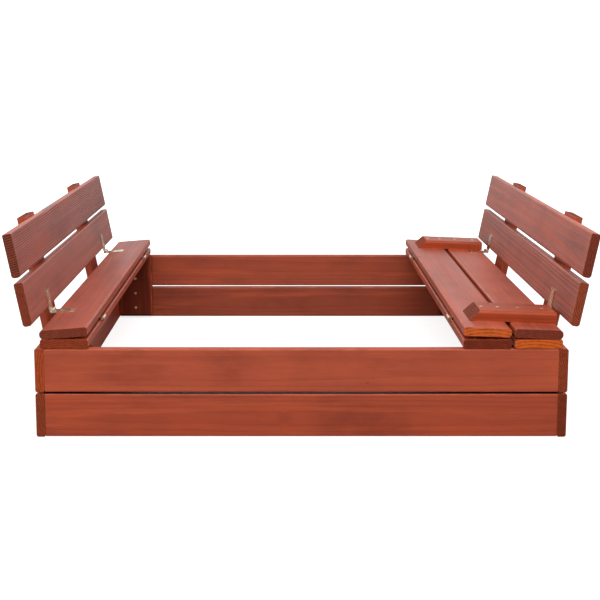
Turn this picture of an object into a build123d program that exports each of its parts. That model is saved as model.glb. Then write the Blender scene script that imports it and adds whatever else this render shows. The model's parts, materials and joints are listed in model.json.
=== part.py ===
from build123d import *
from math import asin, atan2, cos, degrees, hypot, radians, sin
import os

os.makedirs("parts", exist_ok=True)

# Sandbox with a two-half cover. Each half unfolds into a bench with a seat and a backrest.
# Origin: middle of the frame at ground level. +X right, +Y back, +Z up. Millimetres.

# Overall frame
frame_width = 1200.0
frame_depth = 1200.0

# Board stock
board_thickness = 21.0
wall_board_width = 101.0
cover_board_width = 108.0
edge_radius = 5.0
seat_outer_radius = 9.0
back_upper_radius = 4.0
back_lower_radius = 7.0
end_break = 0.8

# Walls: two boards high, upper boards level at the top on all four sides
side_seam = 3.0
front_seam = 2.5
back_seam = 4.8
foot_clearance = 0.5

# Corner posts on the inner face of the front and back walls
post_bottom = 11.0
post_top_drop = 2.0
post_screw_heights = (35.0, 83.0, 131.0, 179.0)

# Fixed cover boards lying across the walls
fixed_inset = 13.5
slat_gap = 7.5

# Hinges
pin_radius = 2.5
leaf_thickness = 1.8
leaf_corner = 4.0
hinge_width = 34.0
middle_knuckle = 17.0
axis_height = 4.5
seat_axis_gap = 4.0
seat_leaf_length = 45.0
seat_hinge_spread = 402.0
seat_leaf_screws = (16.0, 35.0)
back_axis_gap_seat = 7.0
back_axis_gap_back = 9.0
back_leaf_length = 55.0
back_hinge_spread = 406.0
back_leaf_screws = (22.0, 46.0)

# Backrest: two boards on two upright struts that stop against the side wall
back_recline = 11.2
back_gap = 11.5
strut_width = 101.0
strut_spread = 317.0
strut_top_rise = 7.0

# Battens that join the two boards of the wider seat
batten_width = 98.0
batten_thickness = 24.0
batten_spread = 487.0
batten_inner_offset = 22.0
batten_outer_offset = 1.5
batten_edge_radius = 8.0
batten_screws = (34.0, 72.0, 119.0, 176.0)

# Screws
screw_radius = 2.0
screw_head_radius = 4.0
hinge_screw_head_radius = 3.6
recess_width = 1.0
recess_span = 3.6
recess_depth = 1.2
wall_screw_length = 50.0
wall_screw_pitch = 44.0
post_screw_length = 38.0
fixed_screw_length = 40.0
fixed_screw_pitch = 54.0
hinge_screw_length = 16.0
batten_screw_length = 40.0
strut_screw_length = 36.0
strut_screw_pitch = 44.0
strut_screw_stagger = 50.0

# Fits
rest_clearance = 0.3
pin_clearance = 0.05
knuckle_gap = 0.3

# Sizes that follow from the values above
half_width = frame_width / 2
half_depth = frame_depth / 2
half_thickness = board_thickness / 2
wall_top = 2 * wall_board_width + side_seam
fixed_top = wall_top + board_thickness
end_line = half_depth - half_thickness
moving_height = axis_height - rest_clearance
knuckle_radius = pin_radius + pin_clearance + leaf_thickness
plate_start = knuckle_radius + knuckle_gap
axis_level = fixed_top + axis_height
recline = radians(back_recline)
upright = (sin(recline), cos(recline))
inward = (-cos(recline), sin(recline))
back_face = -axis_height
back_rear = back_face - board_thickness
strut_middle = back_rear - half_thickness
back_top = back_axis_gap_back + 2 * wall_board_width + back_gap
strut_top = back_top + strut_top_rise


def toward(side, direction):
    """World vector of an (outward, up) direction on the left (-1) or right (1) half."""
    return (side * direction[0], 0, direction[1])


def step(point, direction, distance):
    """An (outward, up) point moved along an (outward, up) direction."""
    return (point[0] + distance * direction[0], point[1] + distance * direction[1])


def board_plane(side, middle, width_direction):
    """Front end plane of a board that runs front to back."""
    origin = (side * middle[0], -half_depth, middle[1])
    return Plane(origin=origin, x_dir=toward(side, width_direction), z_dir=(0, 1, 0))


def across_plane(side, middle, along, away, y):
    """Plane square to a hinge axis, x along the leaf and y away from the board."""
    turn = along[1] * away[0] - along[0] * away[1]
    origin = (side * middle[0], y, middle[1])
    return Plane(origin=origin, x_dir=toward(side, along), z_dir=(0, side * turn, 0))


def face_plane(side, point, y, along, away):
    """Plane on a face, x along the given direction and z out of the face."""
    origin = (side * point[0], y, point[1])
    return Plane(origin=origin, x_dir=toward(side, along), z_dir=toward(side, away))


def write_piece(piece, name):
    """Name one finished piece and write its file."""
    piece.part.label = name
    export_step(piece.part, "parts/" + name + ".step")


def seat_frame(boards):
    """Tilt, directions and back hinge axis of a seat of the given number of boards."""
    width = boards * cover_board_width + (boards - 1) * slat_gap
    reach = seat_axis_gap + width - seat_outer_radius
    lift = moving_height + seat_outer_radius
    drop = seat_outer_radius + rest_clearance - axis_height
    tilt = atan2(lift, reach) - asin(drop / hypot(lift, reach))
    along = (cos(tilt), -sin(tilt))
    above = (sin(tilt), cos(tilt))
    return width, tilt, along, above


# Screw bodies: one plain shape for cutting seats and one with a drive recess for the screw itself
screw_cutters = {}
screw_bodies = {}
screw_kinds = {
    "wall": (screw_head_radius, wall_screw_length),
    "post": (screw_head_radius, post_screw_length),
    "fixed": (screw_head_radius, fixed_screw_length),
    "hinge": (hinge_screw_head_radius, hinge_screw_length),
    "batten": (screw_head_radius, batten_screw_length),
    "strut": (screw_head_radius, strut_screw_length),
}
for kind, (head_radius, length) in screw_kinds.items():
    head_depth = head_radius - screw_radius
    with BuildPart() as screw_blank:
        with BuildSketch(Plane.XZ):
            with BuildLine():
                Polyline(
                    (0, 0),
                    (head_radius, 0),
                    (screw_radius, -head_depth),
                    (screw_radius, screw_radius - length),
                    (0, -length),
                    close=True,
                )
            make_face()
        revolve(axis=Axis.Z)
    with BuildPart() as screw:
        add(screw_blank.part)
        with BuildSketch(Plane.XY):
            Rectangle(recess_span, recess_width)
            Rectangle(recess_width, recess_span)
        extrude(amount=-recess_depth, mode=Mode.SUBTRACT)
    screw_cutters[kind] = screw_blank.part
    screw_bodies[kind] = screw.part


# Screw positions on the fixed frame
wall_screw_planes = {}
for side_name, side in (("left", -1), ("right", 1)):
    for level, middle in (("lower", wall_board_width / 2), ("upper", wall_top - wall_board_width / 2)):
        wall_screw_planes[side_name, level] = [
            face_plane(side, (half_width, middle + rise), y, (0, 1), (1, 0))
            for rise in (-wall_screw_pitch / 2, wall_screw_pitch / 2)
            for y in (-end_line, end_line)
        ]
all_wall_screws = [plane for planes in wall_screw_planes.values() for plane in planes]

post_middle = half_width - board_thickness - cover_board_width / 2
post_face = half_depth - 2 * board_thickness
post_screw_planes = {}
for end_name, end in (("front", -1), ("back", 1)):
    for side_name, side in (("left", -1), ("right", 1)):
        post_screw_planes[end_name, side_name] = [
            Plane(origin=(side * post_middle, end * post_face, z), x_dir=(1, 0, 0), z_dir=(0, -end, 0))
            for z in post_screw_heights
        ]
all_post_screws = [plane for planes in post_screw_planes.values() for plane in planes]

outer_middle = half_width - fixed_inset - cover_board_width / 2
inner_middle = outer_middle - cover_board_width - slat_gap
fixed_boards = {
    "fixed_board_left": (-1, outer_middle),
    "fixed_board_right_outer": (1, outer_middle),
    "fixed_board_right_inner": (1, inner_middle),
}
fixed_screw_planes = {}
for name, (side, middle) in fixed_boards.items():
    fixed_screw_planes[name] = [
        face_plane(side, (middle + shift, fixed_top), y, (1, 0), (0, 1))
        for shift in (-fixed_screw_pitch / 2, fixed_screw_pitch / 2)
        for y in (-end_line, end_line)
    ]
all_fixed_screws = [plane for planes in fixed_screw_planes.values() for plane in planes]

# Hinge axes and screw positions of the two benches
outward = (1, 0)
upward = (0, 1)
benches = {}
for side_name, side, boards, fixed_edge in (
    ("left", -1, 1, outer_middle - cover_board_width / 2),
    ("right", 1, 2, inner_middle - cover_board_width / 2),
):
    width, tilt, along, above = seat_frame(boards)
    below = (-above[0], -above[1])
    back_along = (-along[0], -along[1])
    seat_axis = (fixed_edge - seat_axis_gap, axis_level)
    seat_top = step(seat_axis, above, moving_height + board_thickness)
    back_axis = step(seat_top, along, seat_axis_gap + width + back_axis_gap_seat)
    back_axis = step(back_axis, above, moving_height)
    leaf_seats = {
        "fixed": (seat_axis, outward, upward, axis_height, seat_hinge_spread, seat_leaf_length),
        "moving": (seat_axis, along, below, moving_height, seat_hinge_spread, seat_leaf_length),
        "seat": (back_axis, back_along, above, moving_height, back_hinge_spread, back_leaf_length),
        "back": (back_axis, upright, inward, axis_height, back_hinge_spread, back_leaf_length),
    }
    leaf_screws = {}
    for leaf, (axis, run, away, height, spread, leaf_length) in leaf_seats.items():
        distances = seat_leaf_screws if leaf in ("fixed", "moving") else back_leaf_screws
        leaf_screws[leaf] = [
            face_plane(side, step(step(axis, run, d), away, leaf_thickness - height), y, run, away)
            for d in distances
            for y in (-spread, spread)
        ]
    benches[side_name] = {
        "side": side,
        "boards": boards,
        "width": width,
        "tilt": tilt,
        "along": along,
        "above": above,
        "seat_axis": seat_axis,
        "back_axis": back_axis,
        "seat_top": seat_top,
        "leaves": leaf_seats,
        "leaf_screws": leaf_screws,
    }

# Side walls: boards run the full depth and cover the ends of the front and back boards
for side_name, side in (("left", -1), ("right", 1)):
    for level, middle in (("lower", wall_board_width / 2), ("upper", wall_top - wall_board_width / 2)):
        with BuildPart() as side_wall:
            with BuildSketch(board_plane(side, (half_width - half_thickness, middle), upward)):
                RectangleRounded(wall_board_width, board_thickness, edge_radius)
            extrude(amount=frame_depth)
            chamfer(side_wall.faces().sort_by(Axis.Y)[0].edges(), end_break)
            chamfer(side_wall.faces().sort_by(Axis.Y)[-1].edges(), end_break)
            with Locations(*wall_screw_planes[side_name, level]):
                add(screw_cutters["wall"], mode=Mode.SUBTRACT)
        write_piece(side_wall, "side_wall_" + side_name + "_" + level)

# Front and back walls: boards fit between the side walls, the lower one ripped to clear the ground
wall_span = frame_width - 2 * board_thickness
for end_name, end, seam in (("front", -1, front_seam), ("back", 1, back_seam)):
    seam_level = wall_top - wall_board_width - seam
    lower_width = min(wall_board_width, seam_level - foot_clearance)
    for level, middle, board_width in (
        ("lower", seam_level - lower_width / 2, lower_width),
        ("upper", wall_top - wall_board_width / 2, wall_board_width),
    ):
        start = (-wall_span / 2, end * end_line, middle)
        with BuildPart() as end_wall:
            with BuildSketch(Plane(origin=start, x_dir=(0, 0, 1), z_dir=(1, 0, 0))):
                RectangleRounded(board_width, board_thickness, edge_radius)
            extrude(amount=wall_span)
            chamfer(end_wall.faces().sort_by(Axis.X)[0].edges(), end_break)
            chamfer(end_wall.faces().sort_by(Axis.X)[-1].edges(), end_break)
            with Locations(*all_wall_screws):
                add(screw_cutters["wall"], mode=Mode.SUBTRACT)
            with Locations(*post_screw_planes[end_name, "left"], *post_screw_planes[end_name, "right"]):
                add(screw_cutters["post"], mode=Mode.SUBTRACT)
            if level == "upper":
                with Locations(*all_fixed_screws):
                    add(screw_cutters["fixed"], mode=Mode.SUBTRACT)
        write_piece(end_wall, end_name + "_wall_" + level)

# Corner posts: upright boards tight to the side walls
post_height = wall_top - post_top_drop - post_bottom
post_wall_offset = half_depth - 1.5 * board_thickness
for end_name, end in (("front", -1), ("back", 1)):
    for side_name, side in (("left", -1), ("right", 1)):
        foot = (side * post_middle, end * post_wall_offset, post_bottom)
        with BuildPart() as corner_post:
            with BuildSketch(Plane(origin=foot, x_dir=(1, 0, 0), z_dir=(0, 0, 1))):
                RectangleRounded(cover_board_width, board_thickness, edge_radius)
            extrude(amount=post_height)
            chamfer(corner_post.faces().sort_by(Axis.Z)[0].edges(), end_break)
            chamfer(corner_post.faces().sort_by(Axis.Z)[-1].edges(), end_break)
            with Locations(*post_screw_planes[end_name, side_name]):
                add(screw_cutters["post"], mode=Mode.SUBTRACT)
        write_piece(corner_post, "corner_post_" + end_name + "_" + side_name)

# Fixed cover boards
for name, (side, middle) in fixed_boards.items():
    with BuildPart() as fixed_board:
        with BuildSketch(board_plane(side, (middle, fixed_top - half_thickness), outward)):
            RectangleRounded(cover_board_width, board_thickness, edge_radius)
        extrude(amount=frame_depth)
        chamfer(fixed_board.faces().sort_by(Axis.Y)[0].edges(), end_break)
        chamfer(fixed_board.faces().sort_by(Axis.Y)[-1].edges(), end_break)
        with Locations(*fixed_screw_planes[name]):
            add(screw_cutters["fixed"], mode=Mode.SUBTRACT)
        if name in ("fixed_board_left", "fixed_board_right_inner"):
            bench = benches["left" if side < 0 else "right"]
            with Locations(*bench["leaf_screws"]["fixed"]):
                add(screw_cutters["hinge"], mode=Mode.SUBTRACT)
    write_piece(fixed_board, name)

# Battens on the wider seat
wide = benches["right"]
batten_start = seat_axis_gap + batten_inner_offset
batten_end = seat_axis_gap + wide["width"] - batten_outer_offset
batten_screw_planes = {}
for end_name, end in (("front", -1), ("back", 1)):
    batten_top = step(wide["seat_top"], wide["above"], batten_thickness)
    batten_screw_planes[end_name] = [
        face_plane(1, step(batten_top, wide["along"], batten_start + d), end * batten_spread,
                   wide["along"], wide["above"])
        for d in batten_screws
    ]
    with BuildPart() as batten:
        section = across_plane(1, wide["seat_top"], wide["along"], wide["above"], end * batten_spread)
        with BuildSketch(section):
            with BuildLine():
                Polyline(
                    (batten_start, 0),
                    (batten_end, 0),
                    (batten_end, batten_thickness),
                    (batten_start + batten_thickness, batten_thickness),
                    close=True,
                )
            make_face()
        extrude(amount=batten_width / 2, both=True)
        top_face = batten.faces().sort_by(Axis.Z)[-1]
        long_edges = top_face.edges().group_by(SortBy.LENGTH)[-1]
        fillet(long_edges, batten_edge_radius)
        with Locations(*batten_screw_planes[end_name]):
            add(screw_cutters["batten"], mode=Mode.SUBTRACT)
    write_piece(batten, "batten_" + end_name)
all_batten_screws = batten_screw_planes["front"] + batten_screw_planes["back"]

# Benches
for side_name, bench in benches.items():
    side = bench["side"]
    along = bench["along"]
    above = bench["above"]
    seat_axis = bench["seat_axis"]
    back_axis = bench["back_axis"]
    leaf_screws = bench["leaf_screws"]

    # Seat boards, laid out from the hinge side to the outer edge
    seat_names = ["seat_board_left"]
    if bench["boards"] == 2:
        seat_names = ["seat_board_right_inner", "seat_board_right_outer"]
    for index, name in enumerate(seat_names):
        middle = step(seat_axis, above, moving_height + half_thickness)
        offset = seat_axis_gap + cover_board_width / 2 + index * (cover_board_width + slat_gap)
        middle = step(middle, along, offset)
        with BuildPart() as seat_board:
            with BuildSketch(board_plane(side, middle, along)):
                Rectangle(cover_board_width, board_thickness)
                fillet(vertices().group_by(Axis.X)[-1], seat_outer_radius)
                fillet(vertices().group_by(Axis.X)[0], edge_radius)
            extrude(amount=frame_depth)
            chamfer(seat_board.faces().sort_by(Axis.Y)[0].edges(), end_break)
            chamfer(seat_board.faces().sort_by(Axis.Y)[-1].edges(), end_break)
            if index == 0:
                with Locations(*leaf_screws["moving"]):
                    add(screw_cutters["hinge"], mode=Mode.SUBTRACT)
            if index == bench["boards"] - 1:
                with Locations(*leaf_screws["seat"]):
                    add(screw_cutters["hinge"], mode=Mode.SUBTRACT)
            if bench["boards"] == 2:
                with Locations(*all_batten_screws):
                    add(screw_cutters["batten"], mode=Mode.SUBTRACT)
        write_piece(seat_board, name)

    # Strut screws go in from behind, two through each crossing
    strut_rear = step(back_axis, inward, strut_middle - half_thickness)
    backward = (-inward[0], -inward[1])
    board_offsets = {
        "lower": back_axis_gap_back + wall_board_width / 2,
        "upper": back_top - wall_board_width / 2,
    }
    strut_screw_planes = {}
    for end_name, end in (("front", -1), ("back", 1)):
        strut_screw_planes[end_name] = [
            face_plane(
                side,
                step(strut_rear, upright, offset + turn * strut_screw_pitch / 2),
                end * (strut_spread + turn * strut_screw_stagger / 2),
                upright,
                backward,
            )
            for offset in board_offsets.values()
            for turn in (-1, 1)
        ]
    all_strut_screws = strut_screw_planes["front"] + strut_screw_planes["back"]

    # Backrest boards
    for level, offset in board_offsets.items():
        middle = step(step(back_axis, inward, back_face - half_thickness), upright, offset)
        with BuildPart() as back_board:
            with BuildSketch(board_plane(side, middle, upright)):
                Rectangle(wall_board_width, board_thickness)
                fillet(vertices().group_by(Axis.X)[-1], back_upper_radius)
                fillet(vertices().group_by(Axis.X)[0], back_lower_radius)
            extrude(amount=frame_depth)
            chamfer(back_board.faces().sort_by(Axis.Y)[0].edges(), end_break)
            chamfer(back_board.faces().sort_by(Axis.Y)[-1].edges(), end_break)
            with Locations(*all_strut_screws):
                add(screw_cutters["strut"], mode=Mode.SUBTRACT)
            if level == "lower":
                with Locations(*leaf_screws["back"]):
                    add(screw_cutters["hinge"], mode=Mode.SUBTRACT)
        write_piece(back_board, "backrest_" + side_name + "_" + level)

    # Struts: the lower end stops against the outer face of the side wall
    rear_reach = back_axis[0] - back_rear * cos(recline)
    strut_foot = (half_width + rest_clearance - rear_reach) / sin(recline)
    foot = step(step(back_axis, inward, strut_middle), upright, strut_foot)
    for end_name, end in (("front", -1), ("back", 1)):
        origin = (side * foot[0], end * strut_spread, foot[1])
        with BuildPart() as strut:
            with BuildSketch(Plane(origin=origin, x_dir=(0, 1, 0), z_dir=toward(side, upright))):
                RectangleRounded(strut_width, board_thickness, edge_radius)
            extrude(amount=strut_top - strut_foot)
            chamfer(strut.faces().sort_by(Axis.Z)[0].edges(), end_break)
            chamfer(strut.faces().sort_by(Axis.Z)[-1].edges(), end_break)
            with Locations(*strut_screw_planes[end_name]):
                add(screw_cutters["strut"], mode=Mode.SUBTRACT)
        write_piece(strut, "strut_" + side_name + "_" + end_name)

    # Hinge leaves: a flat plate on the board and rolled knuckles round the pin
    outer_length = (hinge_width - middle_knuckle) / 2 - knuckle_gap
    outer_shift = (hinge_width - outer_length) / 2
    knuckle_sets = {
        "outer": ((-outer_shift, outer_length), (outer_shift, outer_length)),
        "middle": ((0.0, middle_knuckle),),
    }
    leaf_names = {
        "fixed": ("seat_hinge_" + side_name + "_fixed_leaves", "outer"),
        "moving": ("seat_hinge_" + side_name + "_moving_leaves", "middle"),
        "seat": ("back_hinge_" + side_name + "_seat_leaves", "outer"),
        "back": ("back_hinge_" + side_name + "_back_leaves", "middle"),
    }
    for leaf, (name, knuckles) in leaf_names.items():
        axis, run, away, height, spread, leaf_length = bench["leaves"][leaf]
        bore_radius = pin_radius if knuckles == "outer" else pin_radius + pin_clearance
        with BuildPart() as leaf_pair:
            for y in (-spread, spread):
                with BuildSketch(face_plane(side, step(axis, away, -height), y, run, away)):
                    with Locations(((plate_start + leaf_length) / 2, 0)):
                        Rectangle(leaf_length - plate_start, hinge_width)
                    fillet(vertices().group_by(Axis.X)[-1], leaf_corner)
                extrude(amount=leaf_thickness)
                for shift, knuckle_length in knuckle_sets[knuckles]:
                    with BuildSketch(across_plane(side, axis, run, away, y + shift)):
                        Circle(knuckle_radius)
                        with Locations((plate_start / 2, leaf_thickness / 2 - height)):
                            Rectangle(plate_start, leaf_thickness)
                    extrude(amount=knuckle_length / 2, both=True)
                with BuildSketch(across_plane(side, axis, run, away, y)):
                    Circle(bore_radius)
                extrude(amount=hinge_width / 2, both=True, mode=Mode.SUBTRACT)
            with Locations(*leaf_screws[leaf]):
                add(screw_cutters["hinge"], mode=Mode.SUBTRACT)
        write_piece(leaf_pair, name)

    # Hinge pins
    for hinge_name, leaf in (("seat_hinge_", "fixed"), ("back_hinge_", "seat")):
        axis, run, away, height, spread, leaf_length = bench["leaves"][leaf]
        with BuildPart() as pins:
            for y in (-spread, spread):
                with BuildSketch(across_plane(side, axis, run, away, y)):
                    Circle(pin_radius)
                extrude(amount=hinge_width / 2, both=True)
        write_piece(pins, hinge_name + side_name + "_pins")

    # Screws of this bench
    with BuildPart() as seat_hinge_screws:
        with Locations(*leaf_screws["moving"], *leaf_screws["seat"]):
            add(screw_bodies["hinge"])
    write_piece(seat_hinge_screws, "seat_" + side_name + "_hinge_screws")
    with BuildPart() as back_hinge_screws:
        with Locations(*leaf_screws["back"]):
            add(screw_bodies["hinge"])
    write_piece(back_hinge_screws, "back_" + side_name + "_hinge_screws")
    with BuildPart() as strut_screws:
        with Locations(*all_strut_screws):
            add(screw_bodies["strut"])
    write_piece(strut_screws, "strut_" + side_name + "_screws")

# Screws of the fixed frame and of the battens
with BuildPart() as wall_screws:
    with Locations(*all_wall_screws):
        add(screw_bodies["wall"])
write_piece(wall_screws, "wall_screws")

with BuildPart() as post_screws:
    with Locations(*all_post_screws):
        add(screw_bodies["post"])
write_piece(post_screws, "post_screws")

with BuildPart() as fixed_board_screws:
    with Locations(*all_fixed_screws):
        add(screw_bodies["fixed"])
write_piece(fixed_board_screws, "fixed_board_screws")

with BuildPart() as fixed_hinge_screws:
    with Locations(*benches["left"]["leaf_screws"]["fixed"], *benches["right"]["leaf_screws"]["fixed"]):
        add(screw_bodies["hinge"])
write_piece(fixed_hinge_screws, "fixed_hinge_screws")

with BuildPart() as batten_screw_set:
    with Locations(*all_batten_screws):
        add(screw_bodies["batten"])
write_piece(batten_screw_set, "batten_screws")

# Joint values that follow from the geometry
for side_name, bench in benches.items():
    seat_turn = 180 + degrees(bench["tilt"])
    back_turn = 90 - back_recline + degrees(bench["tilt"])
    for joint, axis, turn in (("seat", "seat_axis", seat_turn), ("back", "back_axis", back_turn)):
        place = (round(bench["side"] * bench[axis][0], 4), round(bench[axis][1], 4))
        print(side_name, joint, "axis", place, "turn", round(turn, 4))
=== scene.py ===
import json
import math
import random
from collections import namedtuple

import bpy
from mathutils import Matrix, Vector


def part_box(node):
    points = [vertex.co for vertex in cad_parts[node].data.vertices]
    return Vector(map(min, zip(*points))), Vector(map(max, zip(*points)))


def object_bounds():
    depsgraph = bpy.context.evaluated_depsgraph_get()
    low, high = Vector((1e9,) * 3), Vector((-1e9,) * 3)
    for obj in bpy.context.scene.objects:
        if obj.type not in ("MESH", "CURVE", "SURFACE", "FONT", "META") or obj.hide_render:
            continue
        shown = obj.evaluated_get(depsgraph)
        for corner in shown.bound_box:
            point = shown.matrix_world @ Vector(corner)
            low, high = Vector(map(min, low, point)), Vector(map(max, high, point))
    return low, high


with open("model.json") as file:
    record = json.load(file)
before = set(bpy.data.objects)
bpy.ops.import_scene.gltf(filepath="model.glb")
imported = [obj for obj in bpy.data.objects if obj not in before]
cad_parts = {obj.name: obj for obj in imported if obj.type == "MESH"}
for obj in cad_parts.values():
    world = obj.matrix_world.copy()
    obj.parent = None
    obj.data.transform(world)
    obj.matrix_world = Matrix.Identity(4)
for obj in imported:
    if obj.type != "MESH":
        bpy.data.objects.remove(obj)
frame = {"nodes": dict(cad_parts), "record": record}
cad_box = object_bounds()
nodes = frame["nodes"]
joints = {joint["name"]: joint for joint in frame["record"]["behaviour"]["joints"]}

# ---------------------------------------------------------------- node graph helpers


class Graph:
    """Short names for building one node tree."""

    def __init__(self, tree):
        self.tree = tree

    def node(self, kind, **settings):
        made = self.tree.nodes.new("ShaderNode" + kind)
        for key, value in settings.items():
            setattr(made, key, value)
        return made

    def feed(self, socket, value):
        if isinstance(value, bpy.types.NodeSocket):
            self.tree.links.new(value, socket)
        elif value is not None:
            socket.default_value = value

    def math(self, operation, a, b=None, c=None, clamp=False):
        made = self.node("Math", operation=operation, use_clamp=clamp)
        for socket, value in zip(made.inputs, (a, b, c)):
            self.feed(socket, value)
        return made.outputs[0]

    def vector(self, operation, a, b=None):
        made = self.node("VectorMath", operation=operation)
        self.feed(made.inputs[0], a)
        self.feed(made.inputs[1], b)
        return made.outputs["Value" if operation in ("DOT_PRODUCT", "LENGTH") else "Vector"]

    def noise(self, vector, scale, detail=2.0, roughness=0.5):
        made = self.node("TexNoise")
        self.feed(made.inputs["Vector"], vector)
        made.inputs["Scale"].default_value = scale
        made.inputs["Detail"].default_value = detail
        made.inputs["Roughness"].default_value = roughness
        return made.outputs[0]

    def grain(self, vector, stretch, detail=2.0, roughness=0.5):
        """Noise with its own scale in each direction, in features per metre."""
        return self.noise(self.vector("MULTIPLY", vector, stretch), 1.0, detail, roughness)

    def ramp(self, value, stops):
        made = self.node("ValToRGB")
        elements = made.color_ramp.elements
        while len(elements) < len(stops):
            elements.new(0.5)
        for element, (position, level) in zip(elements, stops):
            element.position = position
            color = level if isinstance(level, tuple) else (level, level, level)
            element.color = (*color, 1)
        self.feed(made.inputs[0], value)
        return made.outputs[0]

    def smooth(self, value, low, high):
        made = self.node("MapRange", interpolation_type="SMOOTHSTEP")
        self.feed(made.inputs["Value"], value)
        self.feed(made.inputs["From Min"], low)
        self.feed(made.inputs["From Max"], high)
        return made.outputs[0]

    def mix(self, factor, a, b, blend="MIX"):
        made = self.node("Mix", data_type="RGBA", blend_type=blend)
        self.feed(made.inputs[0], factor)
        self.feed(made.inputs[6], a)
        self.feed(made.inputs[7], b)
        return made.outputs[2]


def new_group(name, inputs, outputs):
    """An empty shader group with the given sockets, its helper, and its inner inputs and outputs."""
    tree = bpy.data.node_groups.new(name, "ShaderNodeTree")
    for title, kind in inputs:
        tree.interface.new_socket(title, in_out="INPUT", socket_type="NodeSocket" + kind)
    for title, kind in outputs:
        tree.interface.new_socket(title, in_out="OUTPUT", socket_type="NodeSocket" + kind)
    graph = Graph(tree)
    source = tree.nodes.new("NodeGroupInput")
    sink = tree.nodes.new("NodeGroupOutput")
    return tree, graph, source.outputs, sink.inputs


def new_material(name):
    """A material with its node tree's helper and its Principled shader."""
    material = bpy.data.materials.new(name)
    material.use_nodes = True
    tree = material.node_tree
    return material, Graph(tree), tree.nodes["Principled BSDF"]


def add_relief(g, shader, height, strength, distance):
    """Drives the shader's normal from a height, with a bump of the given depth in metres."""
    bump = g.node("Bump")
    bump.inputs["Strength"].default_value = strength
    bump.inputs["Distance"].default_value = distance
    g.feed(bump.inputs["Height"], height)
    g.feed(shader.inputs["Normal"], bump.outputs[0])


# ---------------------------------------------------------------- camera, floor and light

CAMERA_PLACE = (-0.0411, -3.0426, 0.8588)
CAMERA_PITCH = 7.91
CAMERA_LENS = 67.15
CAMERA_SHIFT = (0.0282, -0.15)

FLOOR_REACH = 40.0
FLOOR_DROP = 0.0005
FLOOR_ALBEDO = 0.46
FLOOR_GLOW_NEAR = 0.80
FLOOR_GLOW_GAIN = 0.34
WORLD_WHITE = 1.05
WORLD_FILL = 0.30


def add_camera():
    """A long lens in front of the box, a little above the backrests, looking slightly down."""
    data = bpy.data.cameras.new("camera")
    data.lens = CAMERA_LENS
    data.sensor_width = 36.0
    data.shift_x, data.shift_y = CAMERA_SHIFT
    data.clip_start, data.clip_end = 0.05, 60.0
    camera = bpy.data.objects.new("camera", data)
    camera.location = CAMERA_PLACE
    camera.rotation_euler = (math.radians(90 - CAMERA_PITCH), 0, 0)
    bpy.context.scene.collection.objects.link(camera)
    bpy.context.scene.camera = camera


def add_softbox(name, place, target, size, radiance):
    """A rectangular area light at place, facing target, seen only in what it lights."""
    data = bpy.data.lights.new(name, "AREA")
    data.shape = "RECTANGLE"
    data.size, data.size_y = size
    data.energy = radiance * math.pi * size[0] * size[1]
    light = bpy.data.objects.new(name, data)
    light.location = place
    light.rotation_euler = (Vector(target) - Vector(place)).to_track_quat("-Z", "Y").to_euler()
    light.visible_camera = False
    bpy.context.scene.collection.objects.link(light)


def add_floor():
    """A large pale floor, kept white for the camera and dimmer in what it throws back."""
    mesh = bpy.data.meshes.new("floor")
    quarters = ((-1, -1), (1, -1), (1, 1), (-1, 1))
    mesh.from_pydata([(FLOOR_REACH * x, FLOOR_REACH * y, 0) for x, y in quarters], [], [(0, 1, 2, 3)])
    floor = bpy.data.objects.new("floor", mesh)
    floor.location.z = cad_box[0].z - FLOOR_DROP
    bpy.context.scene.collection.objects.link(floor)
    material, g, shader = new_material("floor_white")
    shader.inputs["Base Color"].default_value = (FLOOR_ALBEDO, FLOOR_ALBEDO, FLOOR_ALBEDO, 1)
    shader.inputs["Roughness"].default_value = 0.9
    shader.inputs["Specular IOR Level"].default_value = 0.1
    shader.inputs["Emission Color"].default_value = (1, 1, 1, 1)
    spread = g.smooth(g.vector("LENGTH", g.node("TexCoord").outputs["Object"]), 0.9, 2.6)
    glow = g.math("MULTIPLY_ADD", spread, FLOOR_GLOW_GAIN, FLOOR_GLOW_NEAR)
    glow = g.math("MULTIPLY", g.node("LightPath").outputs["Is Camera Ray"], glow)
    g.feed(shader.inputs["Emission Strength"], glow)
    mesh.materials.append(material)


def add_world():
    """White surroundings for the camera, a dim even fill for everything else."""
    world = bpy.data.worlds.new("white_studio")
    world.use_nodes = True
    tree = world.node_tree
    fill = tree.nodes["Background"]
    fill.inputs["Color"].default_value = (0.96, 0.98, 1.0, 1)
    fill.inputs["Strength"].default_value = WORLD_FILL
    white = tree.nodes.new("ShaderNodeBackground")
    white.inputs["Color"].default_value = (1, 1, 1, 1)
    white.inputs["Strength"].default_value = WORLD_WHITE
    ray = tree.nodes.new("ShaderNodeLightPath")
    either = tree.nodes.new("ShaderNodeMixShader")
    tree.links.new(ray.outputs["Is Camera Ray"], either.inputs[0])
    tree.links.new(fill.outputs[0], either.inputs[1])
    tree.links.new(white.outputs[0], either.inputs[2])
    tree.links.new(either.outputs[0], tree.nodes["World Output"].inputs["Surface"])
    bpy.context.scene.world = world


def add_studio():
    """Floor, surroundings and large soft lights above, in front and behind."""
    add_floor()
    add_world()
    add_softbox("top_softbox", (0.0, -1.5, 3.4), (0, 0, 0.1), (3.6, 2.4), 3.5)
    add_softbox("front_softbox", (-0.4, -4.2, 1.7), (0, 0, 0.2), (3.0, 1.6), 3.6)
    add_softbox("back_softbox", (0.0, 4.5, 1.7), (0, 0, 0.4), (9.0, 3.2), 0.75)
    add_softbox("left_softbox", (-2.8, -0.5, 2.3), (0.3, 0.15, 0.35), (1.8, 1.6), 3.2)
    add_softbox("right_softbox", (2.8, -0.5, 2.3), (-0.3, 0.15, 0.35), (1.8, 1.6), 3.2)
    bpy.context.scene.view_settings.view_transform = "Standard"


# ---------------------------------------------------------------- stained softwood

# Every board takes its grain from one solid texture: growth rings round a pith line that runs along
# the board, so faces, edges and sawn ends agree with each other.

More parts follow.
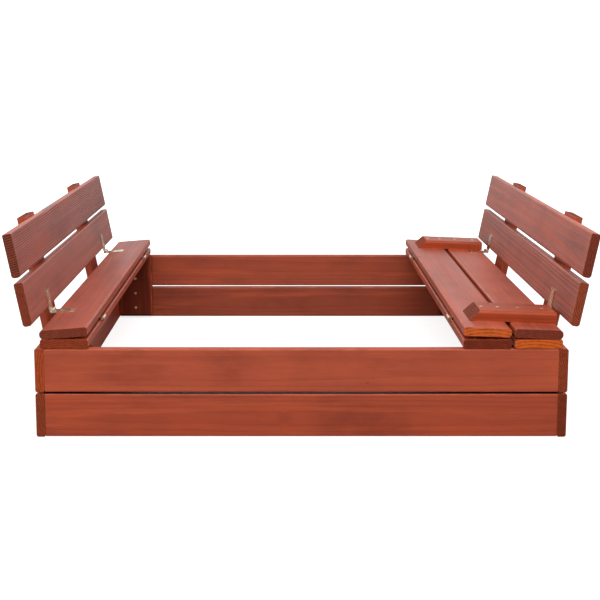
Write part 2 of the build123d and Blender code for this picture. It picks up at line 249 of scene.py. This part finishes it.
KNOTS_PER_METRE = 4.2
KNOT_DARK = (0.085, 0.018, 0.009, 1)
KNOT_PALE = (0.16, 0.032, 0.014, 1)
BLOTCH_SHADES = [(0.30, (0.74, 0.68, 0.64)), (0.50, (1.0, 1.0, 1.0)), (0.70, (1.16, 1.14, 1.12))]
ORANGE_STREAK = (0.50, 0.082, 0.026, 1)
# Colour of the rounded long edges: rubbed stain and a painted highlight together.
RUBBED_STAIN_AND_HIGHLIGHT = (0.60, 0.130, 0.048, 1)
# Painted shade for the seam between the front wall boards.
SEAM_PAINTED_SHADE = (0.010, 0.003, 0.002, 1)
END_RING_SHADE = (0.28, 0.26, 0.30, 1)


def make_wood_group():
    """Colour, roughness and relief of a stained board, in its own length, width and thickness axes."""
    tree, g, given, out = new_group(
        "stained_softwood",
        [("Local", "Vector"), ("Seed", "Vector"), ("Pith", "Vector"), ("Half Size", "Vector"),
         ("End", "Float"), ("Spacing", "Float"), ("Contrast", "Float"), ("Ribs", "Float"),
         ("Face Color", "Color"), ("Line Color", "Color"), ("End Color", "Color"), ("Knots", "Float"),
         ("Seam Side", "Float")],
        [("Color", "Color"), ("Roughness", "Float"), ("Height", "Float")],
    )
    local = given["Local"]
    seeded = g.vector("ADD", local, given["Seed"])

    # Knots: a few cells along the board, each with its own size
    flat = g.vector("MULTIPLY", seeded, (KNOTS_PER_METRE, KNOTS_PER_METRE, 0.6))
    cells = g.node("TexVoronoi")
    g.feed(cells.inputs["Vector"], flat)
    cells.inputs["Scale"].default_value = 1.0
    away = g.math("MULTIPLY", cells.outputs["Distance"], 1.0 / KNOTS_PER_METRE)
    separate = g.node("SeparateColor")
    g.feed(separate.inputs[0], cells.outputs["Color"])
    knot_size = g.math("MULTIPLY_ADD", separate.outputs[0], 0.009, 0.003)
    knot_size = g.math("MULTIPLY", knot_size, given["Knots"])
    ratio = g.math("DIVIDE", away, g.math("ADD", knot_size, 0.0005))
    knot = g.math("SUBTRACT", 1.0, g.smooth(ratio, 0.75, 1.25))
    halo = g.math("SUBTRACT", 1.0, g.smooth(ratio, 0.8, 3.6))
    swell = g.math("MULTIPLY", halo, given["Knots"])

    # Growth rings
    wander = g.math("SUBTRACT", g.grain(seeded, (0.9, 6.3, 6.3)), 0.5)
    ripple = g.math("SUBTRACT", g.grain(seeded, (3.0, 30.0, 30.0)), 0.5)
    across = g.vector("MULTIPLY", g.vector("SUBTRACT", local, given["Pith"]), (0.0, 1.0, 1.0))
    radius = g.vector("LENGTH", across)
    radius = g.math("MULTIPLY_ADD", wander, 0.020, radius)
    radius = g.math("MULTIPLY_ADD", ripple, 0.0022, radius)
    radius = g.math("MULTIPLY_ADD", swell, 0.007, radius)
    phase = g.math("FRACT", g.math("DIVIDE", radius, given["Spacing"]))
    late = g.ramp(phase, [(0.0, 0.0), (0.38, 0.10), (0.78, 0.85), (0.90, 1.0), (1.0, 0.0)])
    knot_rings = g.math("FRACT", g.math("MULTIPLY", ratio, 3.0))

    # Fibres, streaks and stain that took unevenly
    fibre = g.grain(seeded, (14.0, 420.0, 420.0), 3.0, 0.65)
    streak = g.grain(seeded, (1.1, 52.0, 52.0), 3.0, 0.6)
    blotch = g.grain(seeded, (4.6, 8.0, 8.0), 4.0, 0.6)
    warm = g.grain(seeded, (2.6, 40.0, 40.0), 4.0, 0.6)
    tone = g.math("MULTIPLY", late, given["Contrast"])
    tone = g.math("MULTIPLY_ADD", g.math("SUBTRACT", streak, 0.5), 0.55, tone)
    tone = g.math("MULTIPLY_ADD", g.math("SUBTRACT", fibre, 0.5), 0.50, tone)
    tone = g.math("ADD", tone, 0.08, clamp=True)
    color = g.mix(tone, given["Face Color"], given["Line Color"])
    shade = g.ramp(blotch, BLOTCH_SHADES)
    color = g.mix(1.0, color, shade, "MULTIPLY")
    glow = g.math("MULTIPLY", g.smooth(warm, 0.50, 0.72), 0.52)
    color = g.mix(glow, color, ORANGE_STREAK)
    knot_color = g.mix(knot_rings, KNOT_DARK, KNOT_PALE)
    color = g.mix(g.math("MULTIPLY", knot, 0.60), color, knot_color)
    color = g.mix(g.math("MULTIPLY", halo, 0.22), color, given["Line Color"])

    # Rounded long edges: lighter orange colour, partly stain rubbed thinner in places and partly a painted
    # highlight
    share = g.node("SeparateXYZ")
    g.feed(share.inputs[0], g.vector("DIVIDE", local, given["Half Size"]))
    side_near = g.smooth(g.math("ABSOLUTE", share.outputs[1]), 0.90, 0.985)
    face_near = g.smooth(g.math("ABSOLUTE", share.outputs[2]), 0.60, 0.93)
    rubbed_and_highlight = g.math("MULTIPLY", side_near, face_near)
    patchy = g.smooth(g.grain(seeded, (26.0, 90.0, 90.0), 3.0), 0.42, 0.66)
    rubbed_and_highlight = g.math("MULTIPLY", g.math("MULTIPLY", rubbed_and_highlight, patchy), 0.62)
    color = g.mix(rubbed_and_highlight, color, RUBBED_STAIN_AND_HIGHLIGHT)

    # Long edge against the next board: painted shade, almost black, in the seam between the front wall
    # boards
    seam_painted_shade = g.smooth(g.math("MULTIPLY", share.outputs[1], given["Seam Side"]), 0.958, 0.986)
    color = g.mix(g.math("MULTIPLY", seam_painted_shade, 0.90), color, SEAM_PAINTED_SHADE)

    # Sawn ends: open pores soak up the stain, and the saw leaves a rough face
    pore = g.grain(seeded, (200.0, 520.0, 520.0), 3.0)
    saw = g.grain(seeded, (60.0, 90.0, 700.0))
    soak = g.grain(seeded, (20.0, 95.0, 95.0), 3.0, 0.6)
    ring_depth = g.math("MULTIPLY_ADD", given["Contrast"], 1.2, 0.35)
    end_tone = g.math("MULTIPLY", late, ring_depth)
    end_tone = g.math("MULTIPLY_ADD", g.math("SUBTRACT", pore, 0.5), 1.3, end_tone)
    end_tone = g.math("MULTIPLY_ADD", g.math("SUBTRACT", saw, 0.5), 0.7, end_tone)
    end_tone = g.math("MULTIPLY_ADD", g.math("SUBTRACT", soak, 0.45), 1.1, end_tone, clamp=True)
    end_dark = g.mix(1.0, given["End Color"], END_RING_SHADE, "MULTIPLY")
    end_color = g.mix(end_tone, given["End Color"], end_dark)
    color = g.mix(given["End"], color, end_color)
    g.feed(out["Color"], color)

    rough = g.math("MULTIPLY_ADD", streak, 0.20, 0.36)
    rough = g.math("MULTIPLY_ADD", late, -0.07, rough)
    rough = g.math("MULTIPLY_ADD", given["End"], 0.42, rough, clamp=True)
    g.feed(out["Roughness"], rough)

    rib = g.math("MULTIPLY", late, given["Ribs"])
    relief = g.math("MULTIPLY_ADD", late, 0.35, rib)
    relief = g.math("MULTIPLY_ADD", fibre, 0.42, relief)
    relief = g.math("MULTIPLY_ADD", knot, 0.5, relief)
    rough_end = g.math("MULTIPLY", g.math("ADD", pore, saw), 1.3)
    relief = g.math("MULTIPLY_ADD", given["End"], rough_end, relief)
    g.feed(out["Height"], relief)
    return tree


wood_group = make_wood_group()

TERRACOTTA = (0.430, 0.070, 0.024)
TERRACOTTA_LINE = (0.205, 0.029, 0.011)
# Backrest stain: paler and pinker than the terracotta, partly the boards' own tone and partly painted light
# and sheen.
ROSE_PARTLY_PAINTED_LIGHT = (0.395, 0.088, 0.050)
ROSE_LINE = (0.190, 0.036, 0.020)
# Corner posts: the walls' stain darkened to about a third, as painted shade for the shadow the posts stand
# in under the fixed boards.
POST_PAINTED_SHADE = (0.150, 0.022, 0.008)
POST_PAINTED_SHADE_LINE = (0.075, 0.010, 0.004)
END_ORANGE = (0.640, 0.105, 0.008)
END_BROWN = (0.235, 0.030, 0.004)
END_DARK = (0.215, 0.024, 0.004)
END_WARM = (0.330, 0.050, 0.010)


def axis_aligned(long_axis, wide_axis):
    """Length, width and thickness directions from two named axes."""
    axes = {"x": Vector((1, 0, 0)), "y": Vector((0, 1, 0)), "z": Vector((0, 0, 1))}
    along, across = axes[long_axis], axes[wide_axis]
    return along, across, along.cross(across)


def leaning(side, angle, runs_up=False):
    """Directions of a board whose width rises at an angle from outward, in the XZ plane."""
    width = Vector((side * math.cos(angle), 0, math.sin(angle)))
    if runs_up:
        return width, Vector((0, 1, 0)), width.cross(Vector((0, 1, 0)))
    return Vector((0, 1, 0)), width, Vector((0, 1, 0)).cross(width)


def board_axes(name):
    """Length, width and thickness directions of a board, from the joints' own angles."""
    side = -1 if "left" in name else 1
    half = "left" if side < 0 else "right"
    tilt = math.radians(joints[half + "_seat_fold"]["range_deg"][1] - 180)
    rise = math.radians(joints[half + "_back_fold"]["range_deg"][1]) - tilt
    if name.startswith("side_wall"):
        return axis_aligned("y", "z")
    if name.startswith(("front_wall", "back_wall")):
        return axis_aligned("x", "z")
    if name.startswith("corner_post"):
        return axis_aligned("z", "x")
    if name.startswith("fixed_board"):
        return axis_aligned("y", "x")
    if name.startswith("seat_board"):
        return leaning(side, -tilt)
    if name.startswith("batten"):
        along = Vector((math.cos(tilt), 0, -math.sin(tilt)))
        across = Vector((0, 1, 0))
        return along, across, along.cross(across)
    if name.startswith("backrest"):
        return leaning(side, rise)
    return leaning(side, rise, runs_up=True)


# How one board looks: where its pith lies across the width and the thickness (metres), ring spacing
# (metres), grain contrast, colours of face, late-wood line and sawn end, knot size and rib relief.
Look = namedtuple("Look", "pith spacing contrast face line end knots ribs", defaults=(0.0,))

# Corner posts take the darkened colours above: painted shade, not a different stain.
POST_LOOK = Look((0.0, 0.09), 0.0056, 0.30, POST_PAINTED_SHADE, POST_PAINTED_SHADE_LINE, END_BROWN, 0.6)
STRUT_LOOK = Look((0.0, 0.08), 0.0050, 0.36, TERRACOTTA, TERRACOTTA_LINE, END_BROWN, 0.7)

BOARDS = {
    "front_wall_upper": Look(
        (0.010, 0.085), 0.0066, 0.18, (0.420, 0.067, 0.024), TERRACOTTA_LINE, END_BROWN, 0.5
    ),
    "front_wall_lower": Look(
        (-0.006, 0.060), 0.0072, 0.30, (0.385, 0.054, 0.015), TERRACOTTA_LINE, END_BROWN, 0.9
    ),
    "back_wall_upper": Look(
        (0.015, 0.080), 0.0060, 0.28, (0.330, 0.056, 0.022), TERRACOTTA_LINE, END_BROWN, 0.6
    ),
    "back_wall_lower": Look(
        (0.0, 0.060), 0.0066, 0.32, (0.265, 0.044, 0.016), TERRACOTTA_LINE, END_BROWN, 0.7
    ),
    "side_wall_left_upper": Look(
        (0.0, 0.16), 0.0060, 0.26, TERRACOTTA, TERRACOTTA_LINE, (0.44, 0.064, 0.010), 0.7
    ),
    "side_wall_left_lower": Look((0.05, 0.06), 0.0046, 0.65, TERRACOTTA, TERRACOTTA_LINE, END_WARM, 0.9),
    "side_wall_right_upper": Look((0.04, 0.07), 0.0048, 0.55, TERRACOTTA, TERRACOTTA_LINE, END_WARM, 0.8),
    "side_wall_right_lower": Look((-0.04, 0.05), 0.0046, 0.60, TERRACOTTA, TERRACOTTA_LINE, END_BROWN, 0.9),
    "corner_post_front_left": POST_LOOK,
    "corner_post_front_right": POST_LOOK._replace(pith=(0.01, 0.10)),
    "corner_post_back_left": POST_LOOK._replace(pith=(0.0, 0.08)),
    "corner_post_back_right": POST_LOOK._replace(pith=(-0.01, 0.09)),
    "fixed_board_left": Look(
        (0.0, 0.12), 0.0052, 0.34, TERRACOTTA, TERRACOTTA_LINE, (0.300, 0.043, 0.008), 0.7
    ),
    "fixed_board_right_inner": Look((0.03, 0.05), 0.0044, 0.55, TERRACOTTA, TERRACOTTA_LINE, END_DARK, 0.8),
    "fixed_board_right_outer": Look(
        (0.0, 0.20), 0.0075, 0.24, TERRACOTTA, TERRACOTTA_LINE, END_ORANGE, 0.6
    ),
    "seat_board_left": Look(
        (0.036, 0.046), 0.0048, 0.55, (0.425, 0.072, 0.032), TERRACOTTA_LINE, (0.250, 0.034, 0.006), 0.9, 0.5
    ),
    "seat_board_right_inner": Look(
        (0.0, 0.20), 0.0072, 0.30, (0.435, 0.086, 0.044), TERRACOTTA_LINE, END_ORANGE, 1.1
    ),
    "seat_board_right_outer": Look(
        (-0.02, 0.06), 0.0050, 0.34, (0.465, 0.090, 0.043), TERRACOTTA_LINE, END_DARK, 1.2
    ),
    "batten_front": Look(
        (0.0, 0.045), 0.0050, 0.36, (0.360, 0.050, 0.009), TERRACOTTA_LINE, (0.235, 0.048, 0.020), 0.4
    ),
    "batten_back": Look((0.01, 0.050), 0.0050, 0.36, (0.390, 0.056, 0.013), TERRACOTTA_LINE, END_WARM, 0.4),
    # Backrest face colours are paler and pinker than the walls': partly the boards' own tone, partly painted
    # light and sheen.
    "backrest_left_upper": Look(
        (-0.62, 0.02), 0.0056, 1.00, (0.480, 0.118, 0.082), ROSE_LINE, (0.270, 0.045, 0.012), 0.2, 2.2
    ),
    "backrest_left_lower": Look(
        (0.01, 0.11), 0.0058, 0.22, (0.375, 0.078, 0.042), ROSE_LINE, END_BROWN, 0.8
    ),
    "backrest_right_upper": Look(
        (0.0, 0.07), 0.0058, 0.40, (0.460, 0.094, 0.050), ROSE_LINE, END_DARK, 1.3
    ),
    "backrest_right_lower": Look((0.004, 0.034), 0.0052, 0.50, ROSE_PARTLY_PAINTED_LIGHT, ROSE_LINE, END_WARM, 1.0, 0.3),
    "strut_left_front": STRUT_LOOK,
    "strut_left_back": STRUT_LOOK._replace(pith=(0.01, 0.09), spacing=0.0052),
    "strut_right_front": STRUT_LOOK._replace(pith=(0.0, 0.07), spacing=0.0054),
    "strut_right_back": STRUT_LOOK._replace(pith=(-0.01, 0.08)),
}

# Specular level by the start of the board's name: the benches are handled and rubbed smoother
POLISH = {
    "corner_post": 0.16, "front_wall": 0.34, "back_wall": 0.34, "side_wall": 0.28, "fixed": 0.24,
    "batten": 0.26, "seat": 0.40, "backrest": 0.42, "strut": 0.30,
}

# Which long edge of a board lies in a closed seam and takes the painted seam shade: up (1) or down (-1)
SEAM_SIDE = {"front_wall_lower": 1.0, "front_wall_upper": -1.0}


def set_material(obj, material):
    """Puts one material on every slot of an object, without touching its mesh."""
    if not obj.material_slots:
        obj.data.materials.append(material)
    for index in range(len(obj.material_slots)):
        obj.material_slots[index].link = "OBJECT"
        obj.material_slots[index].material = material


def half_size(obj, axes, centre):
    """Half length, half width and half thickness of a board along its own directions."""
    points = [vertex.co - centre for vertex in obj.data.vertices]
    return [max(abs(point.dot(axis)) for point in points) for axis in axes]


BEVELLED_END = (0.30, 0.60)
SQUARE_END = (0.55, 0.85)
WOOD_RELIEF = (0.75, 0.0006)


def make_board_material(name, seed):
    """The stained-wood group with one board's own axes, colours and grain."""
    look = BOARDS[name]
    low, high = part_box(name)
    centre = (Vector(low) + Vector(high)) / 2
    axes = board_axes(name)
    material, g, shader = new_material("wood_" + name)

    place = g.node("TexCoord")
    mapping = g.node("Mapping", vector_type="TEXTURE")
    g.feed(mapping.inputs["Vector"], place.outputs["Object"])
    mapping.inputs["Location"].default_value = centre
    mapping.inputs["Rotation"].default_value = Matrix(axes).transposed().to_3x3().to_euler("XYZ")
    facing = g.math("ABSOLUTE", g.vector("DOT_PRODUCT", place.outputs["Normal"], tuple(axes[0])))
    end_range = BEVELLED_END if name.startswith("batten") else SQUARE_END

    wood = g.node("Group")
    wood.node_tree = wood_group
    g.feed(wood.inputs["Local"], mapping.outputs[0])
    g.feed(wood.inputs["End"], g.smooth(facing, *end_range))
    random.seed(seed)
    for socket, value in {
        "Seed": [random.uniform(-9, 9) for _ in range(3)],
        "Pith": (0, *look.pith),
        "Half Size": half_size(nodes[name], axes, centre),
        "Spacing": look.spacing,
        "Contrast": look.contrast,
        "Ribs": look.ribs,
        "Face Color": (*look.face, 1),
        "Line Color": (*look.line, 1),
        "End Color": (*look.end, 1),
        "Knots": look.knots,
        "Seam Side": SEAM_SIDE.get(name, 0.0),
    }.items():
        wood.inputs[socket].default_value = value

    g.feed(shader.inputs["Base Color"], wood.outputs["Color"])
    g.feed(shader.inputs["Roughness"], wood.outputs["Roughness"])
    shader.inputs["Specular IOR Level"].default_value = next(
        level for start, level in POLISH.items() if name.startswith(start)
    )
    add_relief(g, shader, wood.outputs["Height"], *WOOD_RELIEF)
    return material


# ---------------------------------------------------------------- plated steel


DRAWN_ACROSS = 900.0
DRAWN_ALONG = 60.0
DIRT = (0.16, 0.095, 0.055, 1)
METAL_RELIEF = (0.35, 0.0002)


def make_metal(name, bright, dull, roughness, grain_axis):
    """Zinc-plated steel: drawn grain along one axis, a cloudy passivated film and a little dirt."""
    material, g, shader = new_material(name)
    place = g.node("TexCoord").outputs["Object"]
    drawn = g.grain(place, [DRAWN_ALONG if axis == grain_axis else DRAWN_ACROSS for axis in range(3)])
    film = g.smooth(g.noise(place, 40.0), 0.38, 0.70)
    speck = g.smooth(g.noise(place, 620.0), 0.62, 0.76)
    color = g.mix(film, (*bright, 1), (*dull, 1))
    g.feed(shader.inputs["Base Color"], g.mix(g.math("MULTIPLY", speck, 0.15), color, DIRT))
    rough = g.math("MULTIPLY_ADD", drawn, 0.16, roughness)
    g.feed(shader.inputs["Roughness"], g.math("MULTIPLY_ADD", speck, 0.25, rough))
    shader.inputs["Metallic"].default_value = 1.0
    add_relief(g, shader, g.math("ADD", drawn, speck), *METAL_RELIEF)
    return material


# ---------------------------------------------------------------- put it together

add_camera()
add_studio()

for index, board in enumerate(BOARDS):
    set_material(nodes[board], make_board_material(board, 11 + 7 * index))

METALS = {
    "leaves": make_metal("yellow_zinc_leaf", (0.80, 0.62, 0.42), (0.46, 0.33, 0.20), 0.13, 1),
    "pins": make_metal("zinc_pin", (0.78, 0.74, 0.66), (0.62, 0.56, 0.46), 0.18, 1),
    "screws": make_metal("yellow_zinc_screw", (0.95, 0.84, 0.64), (0.84, 0.70, 0.50), 0.30, 2),
}
for name, obj in nodes.items():
    for kind, metal in METALS.items():
        if name.endswith(kind):
            set_material(obj, metal)
